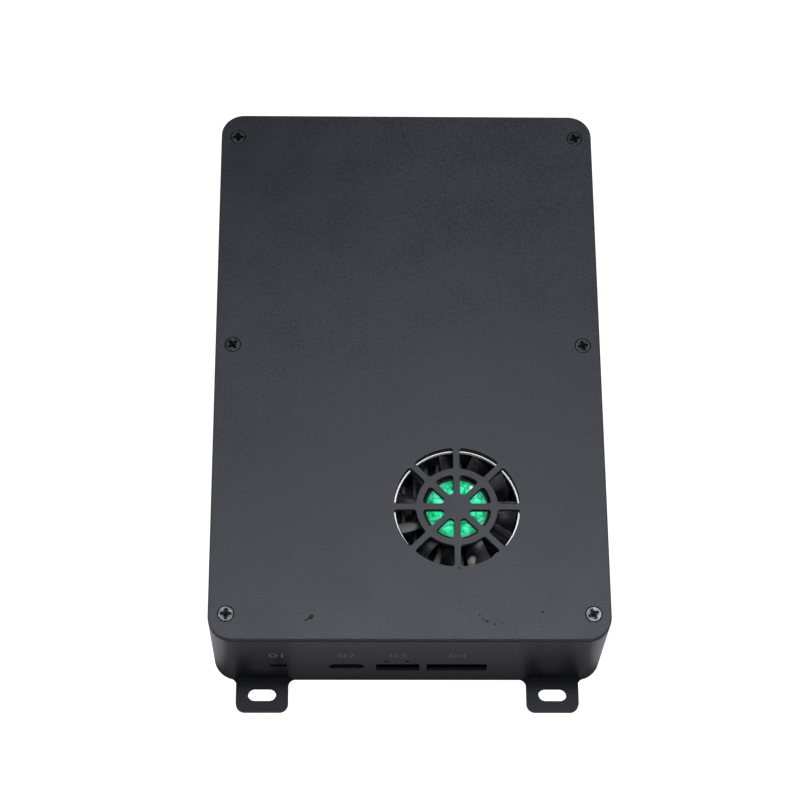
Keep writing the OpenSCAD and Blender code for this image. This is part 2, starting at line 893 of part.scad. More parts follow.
switch_w = 6.6;
switch_d = 3.4;
switch_h = 4.2;
switch_face = front_y + wall_t + pcb_gap + 0.4;
plunger_l = 4.2;
plunger_w = 2.2;
plunger_h = 0.8;
button_set = 0.7;
button_flange_t = 0.6;

module reset_switch() {
    color(plastic_black)
        difference() {
            block(reset_x, switch_face + switch_d / 2, board_top, switch_w, switch_d, switch_h);
            block(reset_x, switch_face + switch_d / 4, reset_z - plunger_h / 2 - button_gap,
                plunger_w + 2 * button_gap, switch_d / 2 + EPS, plunger_h + 2 * button_gap);
        }
}

module reset_button() {
    cap_w = reset_w - 2 * button_gap;
    cap_h = reset_h - 2 * button_gap;
    flange_y = front_y + port_wall_t + button_gap;
    color(plastic_black) {
        translate([reset_x - cap_w / 2, front_y + button_set, reset_z - cap_h / 2])
            cube([cap_w, flange_y - front_y - button_set + EPS, cap_h]);
        translate([reset_x - reset_w / 2 - 0.5, flange_y, reset_z - cap_h / 2])
            cube([reset_w + 1, button_flange_t, cap_h]);
        translate([reset_x - plunger_w / 2, flange_y, reset_z - plunger_h / 2])
            cube([plunger_w, plunger_l, plunger_h]);
    }
}

usb_c_face = front_y + port_wall_t + 1;
usb_c_d = 7.4;
usb_c_t = 0.31;

module usb_c_shell() {
    color(metal)
        translate([usb_c_x, usb_c_face + usb_c_d, usb_c_z])
            rotate([90, 0, 0])
                difference() {
                    linear_extrude(usb_c_d)
                        slot_outline(usb_c_w, usb_c_h);
                    translate([0, 0, 2 * usb_c_t])
                        linear_extrude(usb_c_d)
                            slot_outline(usb_c_w - 2 * usb_c_t, usb_c_h - 2 * usb_c_t);
                }
}

module usb_c_tongue() {
    back = usb_c_face + usb_c_d - 2 * usb_c_t;
    color(plastic_black) {
        block(usb_c_x, back - usb_c_d * 0.38, usb_c_z - 0.35, usb_c_w * 0.75, usb_c_d * 0.76, 0.7);
        block(usb_c_x, back - usb_c_d * 0.12, usb_c_z - 1, usb_c_w * 0.79, usb_c_d * 0.24, 2);
    }
}

card_w = 13.6;
card_d = 12;
card_h = 1.9;
sim_w = 17.6;
sim_d = 12.6;
sim_h = 2.4;
socket_y = front_y + wall_t + 0.2;
lamp_y = socket_y + card_d + 1.05;

// Flat card socket with a mouth to the front wall
module flat_socket(x, w, d, h, mouth_w) {
    difference() {
        block(x, socket_y + d / 2, board_top, w, d, h);
        block(x, socket_y + d / 2 - 1.4, board_top + 0.45, mouth_w, d - 1.4 + EPS, h - 0.8);
        block(x, socket_y + d * 0.55, board_top + h - 0.5, w * 0.42, d * 0.3, 1);
    }
}

module card_socket() {
    color(metal)
        flat_socket(card_x, card_w, card_d, card_h, card_slot_w - 0.6);
}

module card_contacts() {
    color(gold)
        for (i = [0 : 7])
            block(card_x + (i - 3.5) * 1.1, socket_y + card_d * 0.55, board_top + 0.45, 0.5, 5, 0.25);
}

module sim_socket() {
    color(metal)
        flat_socket(sim_x, sim_w, sim_d, sim_h, sim_slot_w - 1);
}

module sim_contacts() {
    color(gold)
        for (i = [-1 : 1], y = [0.3, 0.65])
            block(sim_x + i * 2.54, socket_y + sim_d * y, board_top + 0.45, 1.1, 3, 0.3);
}

module status_lamps() {
    color([0.95, 0.95, 0.85])
        for (x = [-1, 1])
            block(lamp_x + x * lamp_gap / 2, lamp_y, board_top, 1, 1.4, 0.7);
}

module light_guide() {
    color([0.85, 0.88, 0.9]) {
        for (x = [-1, 1])
            wire([[lamp_x + x * lamp_gap / 2, front_y + port_wall_t, lamp_z],
                [lamp_x + x * lamp_gap / 2, lamp_y, lamp_z],
                [lamp_x + x * lamp_gap / 2, lamp_y, board_top + 1.4]], guide_r);
        block(lamp_x, front_y + wall_t + 2, lamp_z - guide_r, lamp_gap + 2, 1.6, 2 * guide_r);
    }
}

power_bore_r = 3.1;
power_bore_d = 10;
power_bore_z = board_top + power_h - 4.6;
power_pin_set = 1.2;

module power_socket() {
    color(plastic_black)
        difference() {
            block(power_x, face_y - power_d / 2, board_top, power_w, power_d, power_h);
            translate([power_x, face_y + EPS, power_bore_z])
                rotate([90, 0, 0])
                    cylinder(h = power_bore_d + EPS, r = power_bore_r);
        }
}

module power_pin() {
    color(metal)
        translate([power_x, face_y - power_pin_set, power_bore_z])
            rotate([90, 0, 0])
                cylinder(h = power_bore_d - power_pin_set, r = 1);
}

module video_shell() {
    color(metal)
        difference() {
            block(video_x, face_y - video_d / 2, board_top, video_w, video_d, video_h);
            translate([video_x - video_w / 2 + 0.35, face_y - video_d + 1, board_top + 1.75])
                cube([video_w - 0.7, video_d, video_h - 2.1]);
            translate([video_x - video_w / 2 + 1.9, face_y - video_d + 1, board_top + 0.35])
                cube([video_w - 3.8, video_d, video_h - 0.7]);
        }
}

module video_tongue() {
    color(plastic_black)
        translate([video_x - 5.4, face_y - video_d + 1, board_top + 2.6])
            cube([10.8, video_d - 2.4, 1.3]);
}

module usb_a_shell() {
    color(metal)
        difference() {
            block(usb_a_x, face_y - usb_a_d / 2, board_top, usb_a_w, usb_a_d, usb_a_h);
            block(usb_a_x, face_y - usb_a_d / 2 + 0.4, board_top + 0.35, usb_a_w - 0.7, usb_a_d, usb_a_h - 0.7);
        }
}

module usb_a_core() {
    core_w = usb_a_w - 0.7;
    back = face_y - usb_a_d + 0.8;
    color([0.1, 0.25, 0.7]) {
        translate([usb_a_x - core_w / 2, back, board_top + 0.35])
            cube([core_w, 6.6, usb_a_h - 0.7]);
        for (z = [5.7, 13.2])
            translate([usb_a_x - 5.6, back, board_top + z - 1.8])
                cube([11.2, usb_a_d - 2.6, 1.8]);
        translate([usb_a_x - core_w / 2, back, board_top + 6.9])
            cube([core_w, usb_a_d - 1.4, 1.6]);
    }
}

module net_socket() {
    color(metal)
        difference() {
            block(net_x, face_y - net_d / 2, board_top, net_w, net_d, net_h);
            translate([net_x - 5.9, face_y - 12, board_top + 4.2])
                cube([11.8, 12 + EPS, 7]);
            translate([net_x - 3.1, face_y - 12, board_top + 2.4])
                cube([6.2, 12 + EPS, 2]);
            translate([net_x - 1.6, face_y - 12, board_top + 1.2])
                cube([3.2, 12 + EPS, 1.4]);
        }
}

module net_contacts() {
    color(gold)
        for (i = [0 : 7])
            translate([net_x + (i - 3.5) * 1.02 - 0.2, face_y - 12, board_top + 10.7])
                rotate([-14, 0, 0])
                    cube([0.4, 6, 0.4]);
}

module sound_socket() {
    mid_z = board_top + sound_h / 2;
    color(plastic_black)
        difference() {
            union() {
                block(sound_x, face_y - 1.5 - wall_t - (sound_d - 4) / 2, board_top, sound_w, sound_d - 4, sound_h);
                translate([sound_x, face_y, mid_z])
                    rotate([90, 0, 0])
                        cylinder(h = wall_t + 2, r = sound_r);
            }
            translate([sound_x, face_y + EPS, mid_z])
                rotate([90, 0, 0])
                    cylinder(h = sound_d - 2, r = 1.8);
        }
}

aerial_washer_t = 0.6;
aerial_nut_t = 2.2;
aerial_nut_r = 4.5;
aerial_free = aerial_washer_t + aerial_nut_t + 0.3;
aerial_neck_r = aerial_r - aerial_relief;
aerial_foot_t = 1.6;
aerial_tail_r = 1.6;
aerial_tail_l = 3.4;
coax_r = 0.6;
coax_in = 2.2;

// Places of the aerial sockets, pointing out through the rear wall
module at_aerials() {
    for (x = [-1, 1])
        translate([x * aerial_x, rear_y, aerial_z])
            rotate([-90, 0, 0])
                children();
}

module aerial_sockets() {
    tail_z = -wall_t - aerial_foot_t - aerial_tail_l;
    color(gold)
        at_aerials()
            difference() {
                union() {
                    translate([0, 0, aerial_free])
                        cylinder(h = aerial_reach - aerial_free, r = aerial_r);
                    translate([0, 0, -wall_t - EPS])
                        cylinder(h = aerial_free + wall_t + 2 * EPS, r = aerial_neck_r);
                    translate([0, 0, -wall_t - aerial_foot_t])
                        cylinder(h = aerial_foot_t, r = aerial_nut_r - 0.2, $fn = 6);
                    translate([0, 0, tail_z])
                        cylinder(h = aerial_tail_l + EPS, r = aerial_tail_r);
                }
                translate([0, 0, aerial_reach - 6.5])
                    cylinder(h = 5, r = 0.6);
                translate([0, 0, tail_z - EPS])
                    cylinder(h = coax_in, r = coax_r + hole_gap);
            }
}

module aerial_washers() {
    color(metal)
        at_aerials()
            difference() {
                cylinder(h = aerial_washer_t, r = aerial_nut_r - 0.1);
                translate([0, 0, -EPS])
                    cylinder(h = aerial_washer_t + 2 * EPS, r = aerial_neck_r + hole_gap);
            }
}

module aerial_nuts() {
    color(gold)
        at_aerials()
            translate([0, 0, aerial_washer_t])
                difference() {
                    cylinder(h = aerial_nut_t, r = aerial_nut_r, $fn = 6);
                    translate([0, 0, -EPS])
                        cylinder(h = aerial_nut_t + 2 * EPS, r = aerial_neck_r + hole_gap);
                }
}

radio_x = case_w * -0.271;
radio_y = fan_y - 3;
radio_w = 22;
radio_l = 30;
radio_t = 0.8;
radio_z = board_top + 2.4;
modem_x = case_w * 0.187;
modem_y = case_l * 0.1695;
modem_w = 30;
modem_l = 50;
modem_t = 1;
modem_z = board_top + 3.2;
card_hole_in = 2;
card_shield_t = 1.4;
plug_w = 2.4;
plug_l = 2;
plug_t = 0.6;

module aerial_leads() {
    tail_y = rear_y - wall_t - aerial_foot_t - aerial_tail_l;
    radio_plug = [radio_x - radio_w * 0.32, radio_y - radio_l * 0.31, radio_z + radio_t + plug_t + coax_r + EPS];
    modem_plug = [modem_x + modem_w / 3, modem_y + modem_l * 0.38, modem_z + modem_t + plug_t + coax_r + EPS];
    color([0.12, 0.12, 0.13]) {
        wire([[-aerial_x, tail_y + coax_in - coax_r - hole_gap, aerial_z], [-aerial_x, tail_y - 5, aerial_z],
            [-aerial_x - 1.4, tail_y - 14, board_top + 2.2], [-aerial_x - 1.4, radio_y - 4, board_top + 2.2],
            radio_plug + [0, 0, 2], radio_plug], coax_r);
        wire([[aerial_x, tail_y + coax_in - coax_r - hole_gap, aerial_z], [aerial_x, tail_y - 5, aerial_z],
            [aerial_x - 3, tail_y - 14, modem_z + 4], modem_plug + [0, 0, 2], modem_plug], coax_r);
    }
}

module radio_card() {
    color([0.06, 0.25, 0.15]) {
        difference() {
            block(radio_x, radio_y, radio_z, radio_w, radio_l, radio_t);
            translate([radio_x, radio_y - radio_l / 2, radio_z - EPS])
                cylinder(h = radio_t + 2 * EPS, r = 1.75);
        }
        block(radio_x + 1.5, radio_y + 1.5, radio_z + radio_t - EPS, radio_w - 5, radio_l - 11, card_shield_t);
        for (x = [-0.32, 0.18])
            block(radio_x + radio_w * x, radio_y - radio_l * 0.31, radio_z + radio_t - EPS, plug_w, plug_l, plug_t);
    }
}

module radio_socket() {
    color(plastic_black)
        difference() {
            block(radio_x, radio_y + radio_l / 2 + 1.5, board_top, radio_w - 0.2, 6.4, 4.2);
            block(radio_x, radio_y + radio_l / 2 - 0.4, radio_z - hole_gap, radio_w, 5, radio_t + 2 * hole_gap);
        }
}

module modem_card() {
    color([0.06, 0.2, 0.3]) {
        difference() {
            block(modem_x, modem_y, modem_z, modem_w, modem_l, modem_t);
            for (x = [-1, 1])
                translate([modem_x + x * modem_w * 0.4, modem_y + modem_l / 2 - card_hole_in, modem_z - EPS])
                    cylinder(h = modem_t + 2 * EPS, r = 1.3);
        }
        block(modem_x, modem_y - 2, modem_z + modem_t - EPS, modem_w * 0.9, modem_l * 0.68, card_shield_t);
        block(modem_x + modem_w / 3, modem_y + modem_l * 0.38, modem_z + modem_t - EPS, plug_w, plug_l, plug_t);
    }
}

module modem_socket() {
    color(plastic_black)
        difference() {
            block(modem_x, modem_y - modem_l / 2 - 0.5, board_top, modem_w + 1.5, 6.4, 5.6);
            block(modem_x, modem_y - modem_l / 2 + 1.4, modem_z - hole_gap, modem_w + 2 * hole_gap, 5,
                modem_t + 2 * hole_gap);
        }
}

module card_post(h) {
    difference() {
        cylinder(h = h, r = 2.2);
        translate([0, 0, 0.4])
            cylinder(h = h, r = 1 + hole_gap);
    }
}

module card_posts() {
    color(gold) {
        translate([radio_x, radio_y - radio_l / 2, board_top])
            card_post(radio_z - board_top);
        for (x = [-1, 1])
            translate([modem_x + x * modem_w * 0.4, modem_y + modem_l / 2 - card_hole_in, board_top])
                card_post(modem_z - board_top);
    }
}

module card_screws() {
    color(metal) {
        translate([radio_x, radio_y - radio_l / 2, radio_z + radio_t])
            pan_screw(2, 0.9, 1, radio_z + radio_t - board_top - 0.8);
        for (x = [-1, 1])
            translate([modem_x + x * modem_w * 0.4, modem_y + modem_l / 2 - card_hole_in, modem_z + modem_t])
                pan_screw(2, 0.9, 1, modem_z + modem_t - board_top - 0.8);
    }
}

// Place on the board at shares of the case width and length
module on_board(u, v) {
    translate([case_w * u, case_l * v, board_top])
        children();
}

ram_w = 10;
ram_l = 12.4;
ram_t = 1.1;
store_w = 11.5;
store_l = 13;

module memory_chips() {
    color(plastic_black) {
        for (x = [-1, 1], y = [-1, 1])
            block(fan_x + x * (chip_w + ram_w + 4) / 2, fan_y + y * (ram_l / 2 + 0.8), board_top, ram_w, ram_l, ram_t);
        on_board(0.252, -0.061)
            block(0, 0, 0, store_w, store_l, ram_t);
    }
}

logic_t = 0.9;

module logic_chips() {
    color(plastic_black)
        for (c = [[-0.037, -0.05, 8], [-0.056, 0.075, 7], [0.075, -0.063, 6], [0, 0.339, 7], [-0.206, 0.088, 5]])
            on_board(c[0], c[1])
                block(0, 0, 0, c[2], c[2], logic_t);
}

coil_side = 4;
coil_h = 2.1;

module inductors() {
    color([0.35, 0.35, 0.37])
        for (c = [[-0.112, -0.05], [-0.112, -0.019], [-0.112, 0.0126], [-0.065, 0], [-0.019, 0], [-0.159, 0.339]])
            on_board(c[0], c[1])
                linear_extrude(coil_h)
                    outline(coil_side, coil_side, 0.6);
}

can_side = 6.6;
can_r = 3.15;
can_h = 6.8;
can_foot = 0.9;

module capacitors() {
    color([0.8, 0.81, 0.83])
        for (u = [-0.3084, -0.2374])
            on_board(u, 0.345) {
                block(0, 0, 0, can_side, can_side, can_foot);
                translate([0, 0, can_foot - EPS])
                    cylinder(h = can_h, r = can_r);
            }
}

bit_w = 1;
bit_l = 1.6;
bit_t = 0.6;
bit_pitch = 3.4;

module small_parts() {
    color([0.55, 0.45, 0.32]) {
        for (i = [-3.5 : 3.5], y = [-1, 1])
            block(fan_x + i * bit_pitch, fan_y + y * (chip_w / 2 + 3.5), board_top, bit_w, bit_l, bit_t);
        for (i = [0 : 6])
            on_board(-0.168 + i * 0.0243, -0.113)
                block(0, 0, 0, bit_l, bit_w, bit_t);
        for (i = [0 : 5])
            on_board(-0.359, 0.314 + i * 0.0126)
                block(0, 0, 0, bit_l, bit_w, bit_t);
        for (u = [-0.112, 0.234])
            on_board(u, -0.427)
                block(0, 0, 0, 2 * bit_w, 2 * bit_l, bit_t);
        for (i = [0 : 4])
            on_board(0.266 + i * 0.0224, -0.4394)
                block(0, 0, 0, bit_w, bit_l, bit_t);
    }
}

header_pins = 20;
pin_pitch = 2.54;
pins_x = case_w * -0.29;
pins_y = case_l * 0.113;

module pin_header() {
    color(gold) {
        block(pins_x, pins_y, board_top, 2 * pin_pitch, header_pins * pin_pitch, 2.5);
        for (i = [0 : header_pins - 1], x = [-1, 1])
            block(pins_x + x * pin_pitch / 2, pins_y + (i - (header_pins - 1) / 2) * pin_pitch,
                board_top + 2.5 - EPS, 0.64, 0.64, 6);
    }
}

cell_x = case_w * -0.1215;
cell_y = case_l * 0.2197;
cell_r = 10;

module cell_holder() {
    color([0.15, 0.15, 0.16])
        translate([cell_x, cell_y, board_top])
            difference() {
                union() {
                    cylinder(h = 4.2, r = cell_r + 1.2);
                    block(0, 0, 0, 27, 5, 1.2);
                }
                translate([0, 0, 1])
                    cylinder(h = 5, r = cell_r + 0.1);
                block(0, cell_r, 2.2, 9, 8, 3);
            }
}

module clock_cell() {
    color(metal)
        translate([cell_x, cell_y, board_top + 1]) {
            cylinder(h = 2.7, r = cell_r);
            translate([0, 0, 2.7 - EPS])
                cylinder(h = 0.4, r = cell_r - 1.6);
        }
}

case_body();
top_cover();
cover_screws();
main_pcb();
pcb_screws();
soc_chip();
thermal_pad();
heat_sink();
sink_screws();
sink_washers();
sink_nuts();
fan_frame();
fan_bezel();
fan_rotor();
hub_disc();
fan_shaft();
rotor_magnet();
fan_bearing();
fan_stator();
fan_screws();
fan_cable();
fan_plug();
fan_header();
reset_switch();
reset_button();
usb_c_shell();
usb_c_tongue();
card_socket();
card_contacts();
sim_socket();
sim_contacts();
status_lamps();
light_guide();
power_socket();
power_pin();
video_shell();
video_tongue();
usb_a_shell();
usb_a_core();
net_socket();
net_contacts();
sound_socket();
aerial_sockets();
aerial_nuts();
aerial_washers();
aerial_leads();
radio_card();
radio_socket();
modem_card();
modem_socket();
card_posts();
card_screws();
memory_chips();
logic_chips();
inductors();
capacitors();
small_parts();
pin_header();
cell_holder();
clock_cell();
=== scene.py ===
import math

import bpy
from mathutils import Matrix, Vector


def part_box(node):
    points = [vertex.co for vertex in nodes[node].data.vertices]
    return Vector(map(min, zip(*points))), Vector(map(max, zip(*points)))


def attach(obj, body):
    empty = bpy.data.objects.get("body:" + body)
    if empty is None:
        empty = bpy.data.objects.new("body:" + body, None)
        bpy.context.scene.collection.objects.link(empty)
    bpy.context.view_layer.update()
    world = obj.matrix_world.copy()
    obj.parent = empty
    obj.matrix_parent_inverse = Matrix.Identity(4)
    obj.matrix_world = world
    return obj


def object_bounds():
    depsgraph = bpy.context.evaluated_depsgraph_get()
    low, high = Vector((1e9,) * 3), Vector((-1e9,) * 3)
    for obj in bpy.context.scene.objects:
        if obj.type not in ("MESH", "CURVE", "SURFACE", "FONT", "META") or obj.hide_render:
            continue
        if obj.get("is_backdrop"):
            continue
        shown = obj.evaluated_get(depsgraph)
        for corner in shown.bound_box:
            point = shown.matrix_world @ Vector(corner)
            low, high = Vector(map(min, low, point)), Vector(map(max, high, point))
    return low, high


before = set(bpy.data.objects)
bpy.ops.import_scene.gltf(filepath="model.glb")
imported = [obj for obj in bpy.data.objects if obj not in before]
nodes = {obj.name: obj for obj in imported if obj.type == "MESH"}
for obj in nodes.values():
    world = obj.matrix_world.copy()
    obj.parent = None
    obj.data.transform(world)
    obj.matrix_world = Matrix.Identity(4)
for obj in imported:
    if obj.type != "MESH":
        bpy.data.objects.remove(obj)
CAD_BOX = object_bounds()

MM = 0.001
scene = bpy.context.scene

# ---------------------------------------------------------------- places and sizes
COVER_TOP = CAD_BOX[1][2]
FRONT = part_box("top_cover")[0][1]
HALF_WIDTH, HALF_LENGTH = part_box("top_cover")[1][0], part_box("top_cover")[1][1]
EAR_OUT = 9.35 * MM  # how far an ear reaches past its wall

# Openings in the front wall, whose inner faces get painted shade: where these faces start and end behind its face,
# and how far out they lie
OPENING_START = 0.12 * MM
OPENING_END = 6.0 * MM
OPENINGS_OUT = 44.0 * MM

# Cover screws: four near the corners and two near the middle
SCREW_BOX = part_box("cover_screws")
SCREW_HEAD_R = 2.1 * MM
SCREW_X = SCREW_BOX[1][0] - SCREW_HEAD_R
SCREW_Y = SCREW_BOX[1][1] - SCREW_HEAD_R
SCREW_MID_Y = 6.1 * MM
SCREW_CROWN = 0.22 * MM, 0.02 * MM  # depths under the cover's top between which the painted shade of the cross recess gives way to the crown
SCREW_PAINTED_LIGHT_Y = -50.0 * MM  # from here to the front the heads get their full painted highlight

# Fan: the polished lip of its bezel with its painted highlight, the rim of its hub and the foil's rim of painted
# shade, and two painted glints, placed from the hub's middle
BEZEL_LIP_OUT = 0.42 * MM
BEZEL_LIP_OFF = 0.2 * MM
HUB_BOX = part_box("hub_disc")
HUB = (Vector(HUB_BOX[0]) + Vector(HUB_BOX[1])) / 2
HUB_RIM_R = 9.6 * MM
FOIL_SHADE_RIM = 5.8 * MM, 8.3 * MM
FOIL_GLINT = 4.0 * MM, 6.2 * MM
FOIL_GLINT_R = 0.5 * MM
PAINTED_GLINT = 3.7 * MM, -13.6 * MM
PAINTED_GLINT_R = 1.7 * MM

# Scuffs on the cover, as x, y and radius in mm, and its large soft patches of painted light and painted shade, as x,
# y and radius
SCUFFS = [(-27.5, -74.3, 0.55), (-26.9, -73.9, 0.65), (-26.2, -73.5, 0.75), (-25.9, -73.0, 0.7), (13.2, -59.4, 0.5),
          (11.2, -58.9, 0.4), (18.3, -72.6, 0.4), (19.2, -73.7, 0.35), (20.3, -74.6, 0.45), (22.5, -75.2, 0.3),
          (28.1, -76.3, 0.35), (13.3, -68.9, 0.35), (35.2, -72.0, 0.3), (35.0, -76.1, 0.3), (24.4, -74.9, 0.3)]
PAINTED_SHADE_PATCH = -46.0 * MM, 66.0 * MM, 52.0 * MM
PAINTED_LIGHT_PATCH = 13.0 * MM, -6.0 * MM, 56.0 * MM

# Aerial sockets: their axes, the radii of contact, insulator and barrel, and their thread
AERIAL_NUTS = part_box("aerial_nuts")
AERIAL_NUT_R = 4.5 * MM
AERIAL_X = AERIAL_NUTS[1][0] - AERIAL_NUT_R
AERIAL_Z = (AERIAL_NUTS[0][2] + AERIAL_NUTS[1][2]) / 2
AERIAL_CONTACT_R = 0.35 * MM
AERIAL_CONTACT_WALL_R = 0.65 * MM
AERIAL_INSULATOR_R = 2.1 * MM
AERIAL_BARREL_R = 2.9 * MM
THREAD_PITCH = 0.7 * MM

# Numbers on the front wall
MARK_SIZE = 5.0 * MM
MARK_Z = 22.4 * MM
MARK_THICK = 0.01 * MM
MARK_BOLD = 0.07 * MM
MARK_OFF = 0.015 * MM

# Floor: half its width, how far the case's painted shadow spreads on it, and its grey for soft light
REACH = 3.0
FLOOR_GAP = 0.2 * MM
SIDE_SHADE = 5.0 * MM
END_SHADE = 40.0 * MM
PAPER_GREY = 0.75
CAMERA_GLOW = 1.1

# ---------------------------------------------------------------- camera
AZIMUTH, ELEVATION, ROLL = math.radians(-2.819), math.radians(66.125), math.radians(2.756)
TARGET = Vector((-1.542, 5.395, 0.0)) * MM
DISTANCE = 679.53 * MM
SENSOR, LENS = 36.0, 104.633
flat = math.cos(ELEVATION)
back = Vector((math.sin(AZIMUTH) * flat, -math.cos(AZIMUTH) * flat, math.sin(ELEVATION)))
right = Vector((math.cos(AZIMUTH), math.sin(AZIMUTH), 0.0))
up = back.cross(right)
cam_right = math.cos(ROLL) * right + math.sin(ROLL) * up
cam_up = math.cos(ROLL) * up - math.sin(ROLL) * right
camera = bpy.data.objects.new("camera", bpy.data.cameras.new("camera"))
scene.collection.objects.link(camera)
camera.data.sensor_width = SENSOR
camera.data.lens = LENS
camera.data.clip_start, camera.data.clip_end = 0.01, 20.0
turn = Matrix((cam_right, cam_up, back)).transposed().to_4x4()
camera.matrix_world = Matrix.Translation(TARGET + back * DISTANCE) @ turn
scene.camera = camera
scene.view_settings.view_transform = "Standard"

# ---------------------------------------------------------------- materials
GRAIN_SCALE, CLOUD_SCALE, TINT_SCALE = 1300.0, 75.0, 48.0
SPECK_SCALE, SPECK_PATCH_SCALE = 150.0, 55.0
NOISE_LOW, NOISE_HIGH = 0.3, 0.7  # most of a noise lies between these
SPECK_BLACK = (0.003, 0.003, 0.004)
# Black for painted shade, and for the cover's scuffs
SHADE_AND_SCUFF_BLACK = (0.005, 0.005, 0.006)
# Steel darkened as painted shade on the screw heads
PAINTED_SHADE_STEEL = (0.03, 0.03, 0.032)
GOLD = (0.6, 0.42, 0.16), (0.78, 0.58, 0.26)


class Shader:
    """A material's node tree with short calls for the nodes used here."""

    def __init__(self, name):
        self.material = bpy.data.materials.new(name)
        self.material.use_nodes = True
        self.tree = self.material.node_tree
        self.base = self.tree.nodes["Principled BSDF"]
        self.coords = self.node("ShaderNodeTexCoord").outputs["Object"]

    def node(self, kind, **settings):
        made = self.tree.nodes.new(kind)
        for key, value in settings.items():
            setattr(made, key, value)
        return made

    def link(self, source, target):
        self.tree.links.new(source, target)

    def fixed(self, **values):
        """Set plain values on the surface shader."""
        for key, value in values.items():
            self.base.inputs[key.replace("_", " ")].default_value = value

    def scaled(self, scale):
        made = self.node("ShaderNodeMapping")
        made.inputs["Scale"].default_value = scale
        self.link(self.coords, made.inputs["Vector"])
        return made.outputs["Vector"]

    def noise(self, scale, detail=3.0, rough=0.55, stretch=None):
        made = self.node("ShaderNodeTexNoise")
        made.inputs["Scale"].default_value = scale
        made.inputs["Detail"].default_value = detail
        made.inputs["Roughness"].default_value = rough
        self.link(self.scaled(stretch) if stretch else self.coords, made.inputs["Vector"])
        return made.outputs["Fac"]

    def cells(self, scale, feature="F1"):
        made = self.node("ShaderNodeTexVoronoi", feature=feature)
        made.inputs["Scale"].default_value = scale
        self.link(self.coords, made.inputs["Vector"])
        return made.outputs["Distance"]

    def axis(self, name):
        made = self.node("ShaderNodeSeparateXYZ")
        self.link(self.coords, made.inputs[0])
        return made.outputs[name]

    def facing(self, name):
        """Component of the surface's own direction in the object's frame."""
        made = self.node("ShaderNodeSeparateXYZ")
        self.link(self.node("ShaderNodeTexCoord").outputs["Normal"], made.inputs[0])
        return made.outputs[name]

    def reach(self, x, y):
        """Level distance from the upright line through x and y."""
        return self.length(*(self.math("SUBTRACT", self.axis(axis), middle) for axis, middle in (("X", x), ("Y", y))))

    def length(self, *parts):
        """Length of the vector with these two parts."""
        return self.math("SQRT", self.math("ADD", *(self.math("MULTIPLY", part, part) for part in parts)))

    def size(self, value):
        return self.math("ABSOLUTE", value)

    def ramp(self, value, stops):
        """Colours or greys at the given places of a value from 0 to 1."""
        made = self.node("ShaderNodeValToRGB")
        band = made.color_ramp
        while len(band.elements) < len(stops):
            band.elements.new(0.5)
        for element, (place, colour) in zip(band.elements, stops):
            element.position = place
            element.color = (*colour, 1.0) if isinstance(colour, tuple) else (colour, colour, colour, 1.0)
        self.link(value, made.inputs["Fac"])
        return made.outputs["Color"]

    def span(self, value, low, high, new_low, new_high):
        """Spread the values from low to high over new_low to new_high."""
        made = self.node("ShaderNodeMapRange")
        for key, number in zip(("From Min", "From Max", "To Min", "To Max"), (low, high, new_low, new_high)):
            made.inputs[key].default_value = number
        self.link(value, made.inputs["Value"])
        return made.outputs["Result"]

    def spread(self, noise, low, high):
        """Spread most of a noise from low to high."""
        return self.span(noise, NOISE_LOW, NOISE_HIGH, low, high)

    def patchy(self, scale, detail, low, high):
        """Mottling between two colours."""
        return self.ramp(self.noise(scale, detail), [(NOISE_LOW, low), (NOISE_HIGH, high)])

    def math(self, operation, a, b=0.0):
        made = self.node("ShaderNodeMath", operation=operation)
        for socket, value in zip(made.inputs, (a, b)):
            if isinstance(value, (int, float)):
                socket.default_value = value
            else:
                self.link(value, socket)
        return made.outputs[0]

    def mix(self, factor, a, b):
        made = self.node("ShaderNodeMix", data_type="RGBA")
        for socket, value in ((made.inputs[0], factor), (made.inputs[6], a), (made.inputs[7], b)):
            if isinstance(value, tuple):
                socket.default_value = (*value, 1.0)
            elif isinstance(value, (int, float)):
                socket.default_value = value
            else:
                self.link(value, socket)
        return made.outputs[2]

    def times(self, a, b):
        made = self.node("ShaderNodeMix", data_type="RGBA", blend_type="MULTIPLY")
        made.inputs[0].default_value = 1.0
        self.link(a, made.inputs[6])
        self.link(b, made.inputs[7])
        return made.outputs[2]

    def bump(self, height, distance, strength=1.0, edge=0.0):
        """Fine relief, and edges rounded by the radius edge."""
        made = self.node("ShaderNodeBump")
        made.inputs["Distance"].default_value = distance
        made.inputs["Strength"].default_value = strength
        self.link(height, made.inputs["Height"])
        if edge:
            bevel = self.node("ShaderNodeBevel", samples=4)
            bevel.inputs["Radius"].default_value = edge
            self.link(bevel.outputs["Normal"], made.inputs["Normal"])
        self.link(made.outputs["Normal"], self.base.inputs["Normal"])

    def into(self, **sockets):
        """Link outputs to sockets of the surface shader."""
        for key, value in sockets.items():
            self.link(value, self.base.inputs[key.replace("_", " ")])


